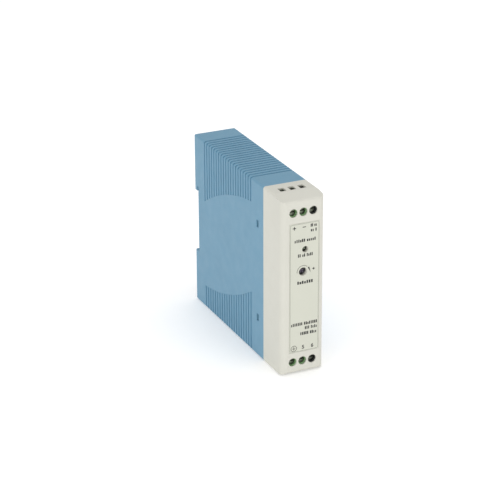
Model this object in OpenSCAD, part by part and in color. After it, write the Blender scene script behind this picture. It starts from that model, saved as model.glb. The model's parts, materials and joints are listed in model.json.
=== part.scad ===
// Slim switched-mode power supply that clips onto a 35 mm top-hat rail.
// Millimetres. X runs along the rail, +Y points at the rail and its wall, +Z is up.
// The origin is on the seat that rests on the rail, midway across the case and at the
// rail's centre line. Inside the modules, a place is its depth behind the front face
// and its height above the underside, and place() moves it to that origin.

/* [Case] */
// Width of the case along the rail
case_w = 22.5; // [22.5:0.5:25]
// Height of the case
case_h = 90; // [90:1:94]
// Depth of the case from its front face to its back
case_d = 100; // [100:1:104]
// Thickness of the side walls
wall = 1.6; // [1.4:0.1:1.8]
// Radius of the long edges
edge_r = 1.2; // [0.8:0.1:1.4]
// Depth of the light front cover
cover_d = 19.5; // [19:0.5:20]
// Thickness of the cover's front wall
front_wall = 2; // [1.8:0.1:2]

/* [Ribs] */
// Number of grooves along each side
groove_count = 20; // [12:1:20]
// Distance from groove to groove
groove_pitch = 2.84; // [2.4:0.02:2.84]
// Width of a groove
groove_w = 1.2; // [0.8:0.1:1.4]
// Depth of a groove
groove_d = 0.5; // [0.3:0.1:0.7]
// Radius of the two arcs that bound the smooth part of the sides
sweep_r = 135; // [130:1:140]

/* [Rail] */
// Height of the rail across its two lips
rail_h = 35; // [35]
// Height of the rail's centre line above the underside
rail_centre = 45.5; // [45:0.5:46]
// Distance from the back of the case in to the seat
seat_depth = 4.2; // [4.2:0.1:4.6]
// How far the hook and the latch reach over a lip
hook_reach = 2.3; // [2:0.1:2.6]
// Travel of the latch
latch_travel = 4.5; // [3.5:0.5:4.5]

/* [Terminals] */
// Distance from pole to pole
pole_pitch = 5.08; // [5.08]
// Depth of the upper screws' axis below the top
top_screw_inset = 7.5; // [7.5:0.1:8]
// Height of the lower screws' axis above the underside
low_screw_inset = 6.5; // [6.5:0.1:7]
// Radius of a screw access hole
access_r = 2.1; // [2:0.1:2.2]
// Width of a wire hole
wire_w = 3; // [2.6:0.1:3.4]
// Length of a wire hole
wire_l = 4.2; // [3.6:0.1:4.6]

/* [Front] */
// Width of the label
label_w = 15.4; // [14:0.2:16]
// Height of the label
label_h = 65.6; // [60:0.2:66]
// Height of the status lamp above the underside
lamp_h = 63.6; // [62:0.2:66]
// Height of the trimmer above the underside
trimmer_h = 52.5; // [50:0.5:54]
// Radius of the trimmer's hole
trimmer_hole_r = 2; // [1.8:0.1:2.2]

/* [Hidden] */
$fn = 48;

eps = 0.1;          // how far a cutter runs past the face it cuts
slack = 0.15;       // assembly clearance between fixed mouldings
run = 0.1;          // running clearance of moving pieces

// Case
seat_y = case_d - seat_depth;
inner_w = case_w - 2 * wall;
cap_wall = wall + 0.2;              // top and bottom walls
top_slope_run = 8.8;                // depth over which the cover's top slopes
top_slope_drop = 1.7;
low_slope_run = 9;
low_slope_rise = 0.8;
corner_r = 3;                       // upright front edges
back_r = 0.8;                       // edges round the back

// Ribs
groove_start = 33.4;                // depth of the first groove's middle
sweep_centre_up = [16, -56];        // depth and height of the upper arc's centre
sweep_centre_low = [104, 146];

// Snap joint between cover and case
snap_heights = [20.4, case_h - 21];
snap_depth = 25.9;
snap_slot = [2, 3.6];               // depth and height of the window
tongue_w = 7;
tongue_t = 1.15;
tongue_start = 12;
nib_reach = 1.1;                    // how far the nib stands out of the tongue

// Rail notch and latch
lip_t = 1.2;                        // space behind the seat for a 1 mm lip
notch_low = rail_centre - rail_h / 2 - eps;
notch_top = rail_centre + rail_h / 2 + eps;
hook_low = rail_centre + rail_h / 2 - hook_reach;
latch_tip = rail_centre - rail_h / 2 + hook_reach;
relief = 0.1;                       // step of the seat under the hook and the latch
slot_wide = 7.6;                    // half width of the latch's undercut
slot_narrow = 5.9;
slot_floor = seat_y + 0.4;
slot_lip = seat_y + 2.2;            // depth where the undercut narrows
spring_axis = seat_y + 2.2;
spring_r = 1.35;
spring_wire = 0.45;
spring_turns = 8;
spring_low = 12.8;
spring_high = 24;
post_low = 10.3;
post_half = 1.7;
post_back = case_d - 0.4;
latch_back = case_d - 0.3;
latch_low = 0.4;                    // the latch's foot above the underside
latch_chamfer = [1.6, 1.8];
latch_eye = [5, 3.2];               // opening for a screwdriver's blade
pocket_half = 2.1;                  // half width of the spring's pocket

// Terminals: heights are counted from the screw's axis, positive towards the wire
terminal_wall = 0.8;                // thickness of the cover over the terminals
block_front = terminal_wall + 0.2;
board_front = 16.8;
block_in = 5.4;
block_out = 4;
mouth_r = 1.75;
mouth_l = 0.8;
head_r = 1.9;
head_front = 2.4;
head_l = 2;
drive_slot = [0.8, 1.1];            // width and depth of the screwdriver slot
shank_r = 1.25;
shank_end = 10.95;
chamber_end = 6.4;
cavity_half = 2.05;
cavity_in = 3.6;
cavity_out = 3.2;
cavity_end = 15.4;
wire_slot = [3.6, 2.8];             // width and depth of the block's wire entry
wire_slot_front = 11.9;
wire_axis = 12.4;                   // depth of the wire holes in the cover
wire_corner_r = 0.5;
cage_half = 1.95;
cage_front = 9.2;
cage_l = 5.75;
cage_reach = 2.4;
cage_sheet = 0.6;
cage_nut = 1.6;                     // thickness of the threaded end
bar_front = 11;
bar_t = 0.8;
bar_half = 1.25;
bar_in = 3.5;
bar_out = 3;
tail_w = 1;
tail_t = 0.8;
tail_end = 1.2;                     // how far a tail stands out behind the front board

// Boards
board_t = 1.6;
board_left = -8;
board_foot = 3.5;                   // height of the main board's lower edge
board_top = board_left + board_t;
board_start = board_front + board_t + 0.2;
board_end = seat_y - 2;
front_board_foot = 3;
guide_start = 30;                   // depth where the board's guides begin
guide_l = 60;
guide_t = 1.4;
guide_overlap = 1.1;
header_low = 30;
header_h = 22;
header_side = 2.5;
sheet_t = 0.4;
sheet_foot = 5.2;

// Front controls
lamp_x = 1.1;
lamp_r = 1.4;
label_x = 0.75;                     // middle of the label
label_low = 11.4;
label_t = 0.2;
label_sink = 0.25;
trimmer_side = 6.8;
trimmer_l = 5;
trimmer_socket = 3.5;
rotor_r = 1.5;
rotor_front = front_wall - 0.6;
rotor_slot = [2.4, 0.8, 0.5];       // length, depth and width of the cross
lamp_nose = 1.4;
lamp_base = 6;
spacer_r = 1.8;

// Places on the main board: depth and height
fuse_at = [28, 11];
thermistor_at = [27, 24];
varistor_at = [37, 12];
safety_capacitor_at = [46, 13];
choke_at = [63, 15.2];
rectifier_at = [78, 9.5];
bulk_capacitor_at = [85, 19];
transformer_at = [52, 48];
heatsink_front = 70;                // depth of both heatsinks' face
primary_h = 36;                     // height of the middle of each heatsink
secondary_h = 73;
output_h = 77;                      // height of the output filter's parts
output_capacitor_depths = [30, 40.5, 51];
inductor_at = [61.5, output_h];
optocoupler_at = [38, 63];
chip_at = [36, 46];
bridging_capacitor_at = [52, 63.5];
resistor_heights = [33, 37.5];
resistor_start = 32;

// Sizes that several pieces share
lead_r = 0.4;
choke_r = 6;                        // radius of the ring core's middle line
choke_lift = 4.2;
package_w = 10;
tab_t = 1.3;
tab_hole = [5, 4.3];                // from the tab's side, and above the heatsink's middle
sink_w = 14.4;
sink_h = 22;
sink_t = 1.5;
bobbin_half = 3.2;                  // half side of the bobbin's tube

function pole_x(i) = (i - 2) * pole_pitch;

// Moves depth and height from the case's lower front edge to the rail's seat
module place() translate([0, -seat_y, -rail_centre]) children();

module along_y(depth) translate([0, depth, 0]) rotate([-90, 0, 0]) children();

// Draws an outline of depth and height through the width w
module across(w) translate([-w / 2, 0, 0]) rotate([90, 0, 90]) linear_extrude(w) children();

// Draws an outline of width and height from depth d over the length l
module lengthwise(d, l) translate([0, d + l, 0]) rotate([90, 0, 0]) linear_extrude(l) children();

// Rectangle [w, h] centred on X with its foot at zero and its corners rounded
module rounded_rect(w, h, r) {
    translate([-w / 2 + r, 0]) square([w - 2 * r, h]);
    translate([-w / 2, r]) square([w, h - 2 * r]);
    for (x = [-1, 1], z = [r, h - r]) translate([x * (w / 2 - r), z]) circle(r);
}

// Case and cover

module case_outline() rounded_rect(case_w, case_h, edge_r);

module smooth_zone() {
    intersection() {
        across(case_w + 2) translate(sweep_centre_up) circle(sweep_r, $fn = 200);
        across(case_w + 2) translate(sweep_centre_low) circle(sweep_r, $fn = 200);
    }
}

module grooves() {
    difference() {
        for (i = [0 : groove_count - 1])
            lengthwise(groove_start + i * groove_pitch - groove_w / 2, groove_w)
                difference() {
                    translate([0, -1]) rounded_rect(case_w + 2, case_h + 2, edge_r);
                    translate([0, groove_d])
                        rounded_rect(case_w - 2 * groove_d, case_h - 2 * groove_d, edge_r);
                }
        smooth_zone();
    }
}

module snap_places() {
    for (side = [0, 1], h = snap_heights)
        mirror([side, 0, 0]) translate([0, 0, h]) children();
}

module rail_notch() {
    translate([-case_w / 2 - 1, seat_y, notch_low]) cube([case_w + 2, lip_t, notch_top - notch_low]);
    translate([-case_w / 2 - 1, seat_y, notch_low])
        cube([case_w + 2, seat_depth + eps, hook_low - notch_low]);
    translate([-case_w / 2 - 1, seat_y - relief, hook_low - eps])
        cube([case_w + 2, lip_t, notch_top - hook_low + eps]);
    translate([-case_w / 2 - 1, seat_y - relief, notch_low])
        cube([case_w + 2, lip_t, latch_tip + eps - notch_low]);
}

module latch_channel() {
    difference() {
        union() {
            translate([-slot_wide, slot_floor, -eps])
                cube([2 * slot_wide, slot_lip - slot_floor, notch_low + 2 * eps]);
            translate([-slot_narrow, slot_lip - eps, -eps])
                cube([2 * slot_narrow, case_d - slot_lip + 2 * eps, notch_low + 2 * eps]);
        }
        translate([-post_half, slot_floor - eps, post_low])
            cube([2 * post_half, post_back - slot_floor + eps, spring_low - post_low]);
    }
}

module case_hollow() {
    lengthwise(cover_d - eps, seat_y - wall - cover_d + eps)
        translate([0, cap_wall]) rounded_rect(inner_w, case_h - 2 * cap_wall, 0.6);
    translate([0, 0, notch_top + wall])
        lengthwise(seat_y - wall - eps, seat_depth + eps)
            rounded_rect(inner_w, case_h - cap_wall - notch_top - wall, 0.6);
}

// Two ribs at the top and two at the bottom hold the main board's edges
module board_guides() {
    guide_h = board_foot + guide_overlap - cap_wall + eps;
    outer_w = inner_w / 2 + board_left - run;
    for (low = [cap_wall - eps, case_h - board_foot - guide_overlap]) {
        translate([-inner_w / 2 - eps, guide_start, low]) cube([outer_w + eps, guide_l, guide_h]);
        translate([board_top + run, guide_start, low]) cube([guide_t, guide_l, guide_h]);
    }
}

module case_body() {
    color([0.49, 0.64, 0.73]) place() {
        difference() {
            intersection() {
                lengthwise(cover_d, case_d - cover_d) case_outline();
                across(case_w + 2) translate([case_d / 2, 0]) rounded_rect(case_d, case_h, back_r);
                translate([0, 0, -1]) linear_extrude(case_h + 2) rounded_rect(case_w, case_d, back_r);
            }
            case_hollow();
            grooves();
            rail_notch();
            latch_channel();
            snap_places()
                translate([inner_w / 2 - 1, snap_depth - snap_slot.x / 2, -snap_slot.y / 2])
                    cube([wall + 2, snap_slot.x, snap_slot.y]);
        }
        board_guides();
    }
}

// Centre of a circle of radius r that touches the front face and a slope behind it
function slope_centre(edge, drop, run_l, r) =
    let (a = atan(drop / run_l)) [r, edge - drop + r * tan(a) - r / cos(a)];

module cover_side_outline() {
    top_r = 1.2;
    low_r = 1.8;
    top_a = atan(top_slope_drop / top_slope_run);
    low_a = atan(low_slope_rise / low_slope_run);
    t = slope_centre(case_h, top_slope_drop, top_slope_run, top_r);
    m = slope_centre(0, low_slope_rise, low_slope_run, low_r);
    b = [m.x, -m.y];
    polygon([
        [0, b.y], [0, t.y],
        [t.x - top_r * sin(top_a), t.y + top_r * cos(top_a)],
        [top_slope_run, case_h], [cover_d, case_h],
        [cover_d, 0], [low_slope_run, 0],
        [b.x - low_r * sin(low_a), b.y - low_r * cos(low_a)]
    ]);
    translate(t) circle(top_r);
    translate(b) circle(low_r);
}

module cover_hollow() {
    across(inner_w) polygon([
        [front_wall, low_slope_rise + wall], [front_wall, case_h - top_slope_drop - wall],
        [top_slope_run, case_h - cap_wall], [cover_d + eps, case_h - cap_wall],
        [cover_d + eps, cap_wall], [low_slope_run, cap_wall]
    ]);
}

// Rim that steps inside the case
module cover_rim() {
    rim_t = 0.8;
    lengthwise(cover_d - 2, 4) difference() {
        translate([0, cap_wall + slack])
            rounded_rect(inner_w - 2 * slack, case_h - 2 * cap_wall - 2 * slack, 0.6);
        translate([0, cap_wall + slack + rim_t])
            rounded_rect(inner_w - 2 * slack - 2 * rim_t, case_h - 2 * (cap_wall + slack + rim_t), 0.4);
    }
    translate([-inner_w / 2 - eps, cover_d - 2, cap_wall - eps]) rim_root();
}

// Joins the rim to the inside of the cover's walls
module rim_root() {
    difference() {
        cube([inner_w + 2 * eps, 2, case_h - 2 * cap_wall + 2 * eps]);
        translate([0.6, -eps, 0.6]) cube([inner_w + 2 * eps - 1.2, 3, case_h - 2 * cap_wall + 2 * eps - 1.2]);
    }
}

module snap_tongue() {
    out = inner_w / 2 - slack;
    tip = snap_depth + 2.2;
    nib_h = snap_slot.y - 2 * slack;
    nib_front = snap_depth - 0.4;
    translate([out - tongue_t, tongue_start, -tongue_w / 2])
        cube([tongue_t, tip - tongue_start, tongue_w]);
    translate([out - tongue_t, tongue_start, -tongue_w / 2])
        cube([tongue_t + 2 * slack, cover_d - tongue_start, tongue_w]);
    translate([0, 0, -nib_h / 2]) linear_extrude(nib_h) polygon([
        [out - eps, nib_front], [out + nib_reach, nib_front],
        [out + nib_reach, nib_front + 0.6], [out - eps, nib_front + 1.25]
    ]);
}

module at_terminal(upper) {
    if (upper) translate([0, 0, case_h - top_screw_inset]) children();
    else translate([0, 0, low_screw_inset]) mirror([0, 0, 1]) children();
}

// Moves height zero to the outer face of the top or of the underside, positive outwards
module at_face(upper) translate([0, 0, upper ? case_h : 0]) mirror([0, 0, upper ? 0 : 1]) children();

// Thin places inside the cover, in front of the terminals and over their wire entries
module terminal_pockets(upper) {
    pocket_w = 3 * pole_pitch + 2 * slack;
    entry_l = wire_l + 1.6;
    at_terminal(upper) translate([-pocket_w / 2, terminal_wall, -block_in - slack])
        cube([pocket_w, front_wall - terminal_wall + eps, block_in + block_out + 2 * slack]);
    at_face(upper) translate([-pocket_w / 2, wire_axis - entry_l / 2, -cap_wall - eps])
        cube([pocket_w, entry_l, cap_wall - terminal_wall + eps]);
}

module wire_hole() {
    translate([0, wire_axis - wire_l / 2, -terminal_wall - eps])
        linear_extrude(terminal_wall + 2 * eps) rounded_rect(wire_w, wire_l, wire_corner_r);
}

// Round hole through the cover's front wall
module front_hole(r) along_y(-eps) cylinder(h = front_wall + 2 * eps, r = r);

module front_cover() {
    color([0.87, 0.86, 0.82]) place() difference() {
        union() {
            difference() {
                intersection() {
                    across(case_w) cover_side_outline();
                    translate([0, 0, -1]) linear_extrude(case_h + 2) {
                        rounded_rect(case_w, cover_d, corner_r);
                        translate([-case_w / 2, corner_r]) square([case_w, cover_d - corner_r]);
                    }
                    lengthwise(-1, cover_d + 1) case_outline();
                }
                cover_hollow();
            }
            cover_rim();
            snap_places() snap_tongue();
        }
        for (upper = [true, false]) {
            terminal_pockets(upper);
            for (i = [1 : 3]) {
                at_terminal(upper) translate([pole_x(i), 0, 0]) front_hole(access_r);
                at_face(upper) translate([pole_x(i), 0, 0]) wire_hole();
            }
        }
        translate([label_x - label_w / 2 - run, -eps, label_low - run])
            cube([label_w + 2 * run, label_sink + eps, label_h + 2 * run]);
        translate([lamp_x, 0, lamp_h]) front_hole(lamp_r + run);
        translate([0, 0, trimmer_h]) front_hole(trimmer_hole_r);
    }
}

module front_label() {
    color([0.84, 0.85, 0.8]) place() difference() {
        translate([label_x - label_w / 2, label_sink - label_t, label_low]) cube([label_w, label_t, label_h]);
        translate([lamp_x, 0, lamp_h]) front_hole(lamp_r + 2 * run);
        translate([0, 0, trimmer_h]) front_hole(trimmer_hole_r + run);
    }
}

// Rail latch

module latch_outline() {
    polygon([
        [seat_y + lip_t, latch_tip], [latch_back - latch_chamfer.x, latch_tip],
        [latch_back, latch_tip - latch_chamfer.y], [latch_back, latch_low],
        [seat_y + lip_t, latch_low]
    ]);
}

module rail_latch() {
    color([0.2, 0.22, 0.25]) place() difference() {
        union() {
            across(2 * (slot_narrow - slack)) latch_outline();
            translate([-slot_wide + slack, slot_floor + slack, latch_low])
                cube([
                    2 * (slot_wide - slack), slot_lip - slot_floor - 2 * slack, notch_low - latch_low - 0.2
                ]);
        }
        translate([-pocket_half, seat_y, post_low - run / 2])
            cube([2 * pocket_half, seat_depth + eps, spring_high - post_low + run / 2]);
        translate([-latch_eye.x / 2, seat_y, 3.2]) cube([latch_eye.x, seat_depth + eps, latch_eye.y]);
    }
}

// Ring of eight points round the wire at the turn t of the spring
function spring_ring(t, rise) =
    [for (k = [0 : 7])
        let (out = spring_r - spring_wire / 2 + spring_wire / 2 * cos(45 * k))
        [out * cos(360 * t), out * sin(360 * t), rise * t + spring_wire / 2 * sin(45 * k)]];

module latch_spring() {
    steps = 14 * spring_turns;
    rise = (spring_high - spring_low - spring_wire - 0.1) / spring_turns;
    points = [for (s = [0 : steps]) each spring_ring(s / steps * spring_turns, rise)];
    sides = [for (s = [0 : steps - 1], k = [0 : 7])
        [8 * s + k, 8 * s + (k + 1) % 8, 8 * (s + 1) + (k + 1) % 8, 8 * (s + 1) + k]];
    first = [for (k = [7 : -1 : 0]) k];
    last = [for (k = [0 : 7]) 8 * steps + k];
    color("silver") place()
        translate([0, spring_axis, spring_low + 0.05 + spring_wire / 2])
            polyhedron(points, concat([first, last], sides));
}

// Terminals

// Space inside one pole: screw well, cage shaft, wire entry and contact slot
module pole_hollow() {
    along_y(block_front - eps) cylinder(h = mouth_l + 2 * eps, r = mouth_r);
    along_y(block_front + mouth_l) cylinder(h = chamber_end - block_front - mouth_l + eps, r = head_r + run);
    translate([-cavity_half, chamber_end, -cavity_in])
        cube([2 * cavity_half, cavity_end - chamber_end, cavity_in + cavity_out]);
    translate([-wire_slot.x / 2, wire_slot_front, cavity_out - eps])
        cube([wire_slot.x, wire_slot.y, block_out - cavity_out + 2 * eps]);
    translate([-tail_w / 2 - run, bar_front - run, -bar_in - tail_t - run])
        cube([tail_w + 2 * run, board_front - bar_front + 2 * eps, tail_t + 2 * run]);
}

module terminal_housing(first, count) {
    difference() {
        translate([pole_x(first) - pole_pitch / 2, block_front, -block_in])
            cube([count * pole_pitch, board_front - block_front, block_in + block_out]);
        for (i = [first : first + count - 1]) translate([pole_x(i), 0, 0]) pole_hollow();
    }
}

module terminal_block(upper) color([0.2, 0.5, 0.3]) place() at_terminal(upper) terminal_housing(1, 2);

module terminal_end_pole(upper) color([0.15, 0.16, 0.16]) place() at_terminal(upper) terminal_housing(3, 1);

module terminal_screw(upper, i) {
    color("silver") place() at_terminal(upper) translate([pole_x(i), 0, 0]) difference() {
        union() {
            along_y(head_front) cylinder(h = head_l, r = head_r);
            along_y(head_front + head_l) cylinder(h = shank_end - head_front - head_l, r = shank_r);
        }
        translate([-head_r - eps, head_front - eps, -drive_slot.x / 2])
            cube([2 * head_r + 2 * eps, drive_slot.y + eps, drive_slot.x]);
    }
}

module clamp_cage(upper, i) {
    color([0.75, 0.72, 0.6]) place() at_terminal(upper) translate([pole_x(i), 0, 0]) difference() {
        translate([-cage_half, cage_front, -cage_reach]) cube([2 * cage_half, cage_l, 2 * cage_reach]);
        translate([-cage_half + cage_sheet, cage_front + cage_nut, -cage_reach - eps])
            cube([2 * (cage_half - cage_sheet), cage_l - cage_nut - bar_t, 2 * cage_reach + 2 * eps]);
        along_y(cage_front - eps) cylinder(h = cage_nut + 2 * eps, r = shank_r + run / 2);
    }
}

// Bars that the cages clamp a wire to, each with a tail through the front board
module contacts(upper) {
    join = 0.01;
    tail_l = board_front + board_t + tail_end - bar_front;
    color([0.8, 0.7, 0.4]) place() at_terminal(upper) for (i = [1 : 3]) translate([pole_x(i), 0, 0]) {
        translate([-bar_half, bar_front, -bar_in]) cube([2 * bar_half, bar_t, bar_in + bar_out]);
        translate([-tail_w / 2, bar_front, -bar_in - tail_t]) cube([tail_w, tail_l, tail_t + join]);
    }
}

// Boards

module main_board() {
    color([0.15, 0.4, 0.25]) place()
        translate([board_left, board_start, board_foot])
            cube([board_t, board_end - board_start, case_h - 2 * board_foot]);
}

module front_board() {
    board_w = -2 * board_left;
    color([0.15, 0.4, 0.25]) place() difference() {
        translate([board_left, board_front, front_board_foot])
            cube([board_w, board_t, case_h - 2 * front_board_foot]);
        for (upper = [true, false], i = [1 : 3])
            at_terminal(upper) translate([pole_x(i), 0, -bar_in - tail_t / 2])
                along_y(board_front - eps) cylinder(h = board_t + 2 * eps, r = 0.8);
    }
}

// Angled socket strip that joins the two boards
module board_header() {
    rear = board_front + board_t;
    color([0.12, 0.12, 0.13]) place() difference() {
        translate([board_top, rear, header_low]) cube([header_side, header_side, header_h]);
        for (h = [header_low + 1.5 : header_side : header_low + header_h - 1])
            translate([board_top + 1, rear + 2, h]) cube([3, 1, 1]);
    }
}

module insulation_sheet() {
    color([0.9, 0.88, 0.8]) place()
        translate([-inner_w / 2, guide_start, sheet_foot])
            cube([sheet_t, board_end - guide_start, case_h - 2 * sheet_foot]);
}

// Stands a component on the main board: its +Z leaves the board and its X runs down
module on_board(at) {
    translate([board_top, at.x, at.y]) rotate([0, 90, 0]) children();
}

module legs(spread, l) {
    for (side = [-1, 1]) translate([side * spread / 2, 0, 0]) cylinder(h = l, r = lead_r);
}

// Disc on edge with two legs
module disc_part(r, t) {
    leg_l = 3;
    translate([0, t / 2, r + leg_l - 1]) rotate([90, 0, 0]) cylinder(h = t, r = r);
    legs(r, leg_l);
}

// Block of the size s whose foot is lift above the board
module block_part(s, lift = 0) translate([-s.x / 2, -s.y / 2, lift]) cube(s);

// Can with a rolled groove near its foot
module can(r, h) {
    groove_r = 0.5;
    rotate_extrude() difference() {
        square([r, h]);
        translate([r + 0.2, 2]) circle(groove_r);
    }
}

// Front controls

module trimmer_body() {
    front = board_front - trimmer_l;
    color([0.2, 0.35, 0.7]) place() translate([0, 0, trimmer_h]) difference() {
        translate([-trimmer_side / 2, front, -trimmer_side / 2])
            cube([trimmer_side, trimmer_l, trimmer_side]);
        along_y(front - eps) cylinder(h = trimmer_socket + eps, r = rotor_r + run);
    }
}

module trimmer_rotor() {
    rear = board_front - trimmer_l + trimmer_socket - run;
    color([0.35, 0.33, 0.4]) place() translate([0, 0, trimmer_h]) difference() {
        along_y(rotor_front) cylinder(h = rear - rotor_front, r = rotor_r);
        for (turn = [0, 90]) rotate([0, turn, 0])
            translate([-rotor_slot.x / 2, rotor_front - eps, -rotor_slot.z / 2])
                cube([rotor_slot.x, rotor_slot.y + eps, rotor_slot.z]);
    }
}

module status_lamp() {
    flange_t = 1;
    flange_r = lamp_r + 0.4;
    color([0.5, 0.75, 0.45]) place() translate([lamp_x, 0, lamp_h]) {
        along_y(lamp_nose + lamp_r) cylinder(h = lamp_base - lamp_nose - lamp_r, r = lamp_r);
        translate([0, lamp_nose + lamp_r, 0]) sphere(lamp_r);
        along_y(lamp_base - flange_t) cylinder(h = flange_t, r = flange_r);
    }
}

module lamp_spacer() {
    lead_gap = 0.8;
    color([0.9, 0.9, 0.88]) place() translate([lamp_x, 0, lamp_h]) difference() {
        along_y(lamp_base) cylinder(h = board_front - lamp_base, r = spacer_r);
        for (side = [-1, 1]) translate([side * lead_gap, 0, 0])
            along_y(lamp_base - eps) cylinder(h = board_front - lamp_base + 2 * eps, r = 0.3);
    }
}

// Mains input

module fuse() {
    can_r = 4.2;
    can_h = 8;
    color([0.75, 0.6, 0.35]) place() on_board(fuse_at) {
        translate([0, 0, 1]) cylinder(h = can_h, r = can_r);
        legs(5, 2);
    }
}

module inrush_thermistor() color([0.2, 0.3, 0.25]) place() on_board(thermistor_at) disc_part(4.4, 3.6);

module surge_varistor() color([0.2, 0.35, 0.75]) place() on_board(varistor_at) disc_part(4.6, 3.4);

module safety_capacitor() {
    color([0.85, 0.75, 0.2]) place() on_board(safety_capacitor_at) block_part([6, 12, 11.5]);
}

module filter_choke_core() {
    color([0.25, 0.25, 0.25]) place() on_board(choke_at) translate([0, 0, choke_lift])
        rotate_extrude() translate([choke_r, 0]) circle(2);
}

// Two half windings with a gap between them
module filter_choke_windings() {
    inner_r = 2.1;
    outer_r = 3;
    reach = choke_r + outer_r + 1;
    color([0.75, 0.4, 0.2]) place() on_board(choke_at) translate([0, 0, choke_lift]) difference() {
        rotate_extrude() translate([choke_r, 0]) difference() {
            circle(outer_r);
            circle(inner_r);
        }
        translate([0, 0, -outer_r - eps]) block_part([2 * reach, 3.2, 2 * outer_r + 2 * eps]);
    }
}

module bridge_rectifier() {
    color([0.15, 0.15, 0.15]) place() on_board(rectifier_at) block_part([6.4, 8.4, 3.2], 0.6);
}

// Stands upright beside the board, with its foot down
module bulk_capacitor() {
    can_r = 6.4;
    color([0.15, 0.18, 0.3]) place()
        translate([board_top + can_r + 0.4, bulk_capacitor_at.x, bulk_capacitor_at.y]) can(can_r, 24);
}

// Switching stage

module switching_transistor() power_package(primary_h);

// Flat power package of the outline TO-220, lying along its heatsink's face
module power_package(height) {
    body_h = 9;
    body_t = 4.4;
    tab_h = 6.2;
    color([0.12, 0.12, 0.12]) place()
        translate([board_top + 2.4, heatsink_front - body_t, height - body_h + 1]) {
            cube([package_w, body_t, body_h]);
            translate([0, body_t - tab_t, body_h - eps]) difference() {
                cube([package_w, tab_t, tab_h + eps]);
                translate([tab_hole.x, 0, tab_hole.y - 1 + eps]) along_y(-eps)
                    cylinder(h = tab_t + 2 * eps, r = 1.7);
            }
        }
}

module heatsink(height) {
    color("lightgray") place() difference() {
        translate([board_top, heatsink_front, height - sink_h / 2]) cube([sink_w, sink_t, sink_h]);
        translate([board_top + 2.4 + tab_hole.x, 0, height + tab_hole.y]) along_y(heatsink_front - eps)
            cylinder(h = sink_t + 2 * eps, r = 1.6);
    }
}

module primary_heatsink() heatsink(primary_h);

module secondary_heatsink() heatsink(secondary_h);

module heatsink_screws() {
    head_h = 2;
    face = heatsink_front - tab_t;
    color("silver") place() for (h = [primary_h, secondary_h])
        translate([board_top + 2.4 + tab_hole.x, 0, h + tab_hole.y]) {
            along_y(face) cylinder(h = 4, r = 1.5);
            along_y(face - head_h) cylinder(h = head_h, r = 2.7);
        }
}

// The winding's axis runs along the depth, and the outer legs lie above and below it
module at_transformer() place() translate([board_top + 7.2, transformer_at.x, transformer_at.y]) children();

module transformer_core() {
    core = [4.8, 16, 19];
    window = [11.4, 4.8];
    leg = 2.4;
    color([0.2, 0.2, 0.21]) at_transformer() difference() {
        translate(-core / 2) cube(core);
        for (side = [0, 1]) mirror([0, 0, side])
            translate([-core.x / 2 - eps, -window.x / 2, leg]) cube([core.x + 2 * eps, window.x, window.y]);
    }
}

module transformer_bobbin() {
    tube_l = 11.2;
    flange = [14.2, 0.8, 14];
    bore = 5;
    color([0.15, 0.15, 0.16]) at_transformer() difference() {
        union() {
            translate([-bobbin_half, -tube_l / 2, -bobbin_half])
                cube([2 * bobbin_half, tube_l, 2 * bobbin_half]);
            for (d = [-tube_l / 2, tube_l / 2 - flange.y])
                translate([-7.2, d, -flange.z / 2]) cube(flange);
        }
        translate([-bore / 2, -tube_l / 2 - eps, -bore / 2]) cube([bore, tube_l + 2 * eps, bore]);
    }
}

module transformer_winding() {
    side = 12.8;
    inner = 2 * bobbin_half + 0.2;
    color([0.9, 0.75, 0.2]) at_transformer() lengthwise(-4.7, 9.4) difference() {
        translate([0, -side / 2]) rounded_rect(side, side, 2);
        translate([-inner / 2, -inner / 2]) square(inner);
    }
}

module output_diode() power_package(secondary_h);

module output_capacitors() {
    color([0.1, 0.3, 0.3]) place()
        for (d = output_capacitor_depths) on_board([d, output_h]) can(4.5, 14);
}

module output_inductor_core() {
    core_h = 10;
    flange_t = 1.5;
    flange_r = 4.6;
    color([0.25, 0.25, 0.26]) place() on_board(inductor_at) rotate_extrude() {
        square([3, core_h]);
        square([flange_r, flange_t]);
        translate([0, core_h - flange_t]) square([flange_r, flange_t]);
    }
}

module output_inductor_winding() {
    winding_h = 6.8;
    color([0.75, 0.4, 0.2]) place() on_board(inductor_at) translate([0, 0, 1.6]) difference() {
        cylinder(h = winding_h, r = 4.2);
        translate([0, 0, -eps]) cylinder(h = winding_h + 2 * eps, r = 3.1);
    }
}

module optocoupler() {
    color([0.12, 0.12, 0.12]) place() on_board(optocoupler_at) block_part([6.4, 4.6, 3.4], 0.5);
}

module controller_chip() {
    color([0.12, 0.12, 0.12]) place() on_board(chip_at) block_part([4, 5, 1.5], 0.1);
}

module bridging_capacitor() {
    color([0.2, 0.4, 0.75]) place() on_board(bridging_capacitor_at) disc_part(3.4, 2.8);
}

module snubber_resistors() {
    color([0.8, 0.7, 0.5]) place() for (h = resistor_heights)
        translate([board_top + 2, resistor_start, h]) along_y(0) cylinder(h = 9, r = 1.5);
}

case_body();
front_cover();
front_label();
rail_latch();
latch_spring();
main_board();
front_board();
board_header();
insulation_sheet();
terminal_block(true);  // output_terminal_block
terminal_end_pole(true);  // output_terminal_end_pole
terminal_block(false);  // input_terminal_block
terminal_end_pole(false);  // input_terminal_end_pole
terminal_screw(true, 1);  // output_screw_1
terminal_screw(true, 2);  // output_screw_2
terminal_screw(true, 3);  // output_screw_3
clamp_cage(true, 1);  // output_clamp_1
clamp_cage(true, 2);  // output_clamp_2
clamp_cage(true, 3);  // output_clamp_3
terminal_screw(false, 1);  // input_screw_1
terminal_screw(false, 2);  // input_screw_2
terminal_screw(false, 3);  // input_screw_3
clamp_cage(false, 1);  // input_clamp_1
clamp_cage(false, 2);  // input_clamp_2
clamp_cage(false, 3);  // input_clamp_3
contacts(true);  // output_contacts
contacts(false);  // input_contacts
trimmer_body();
trimmer_rotor();
status_lamp();
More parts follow.
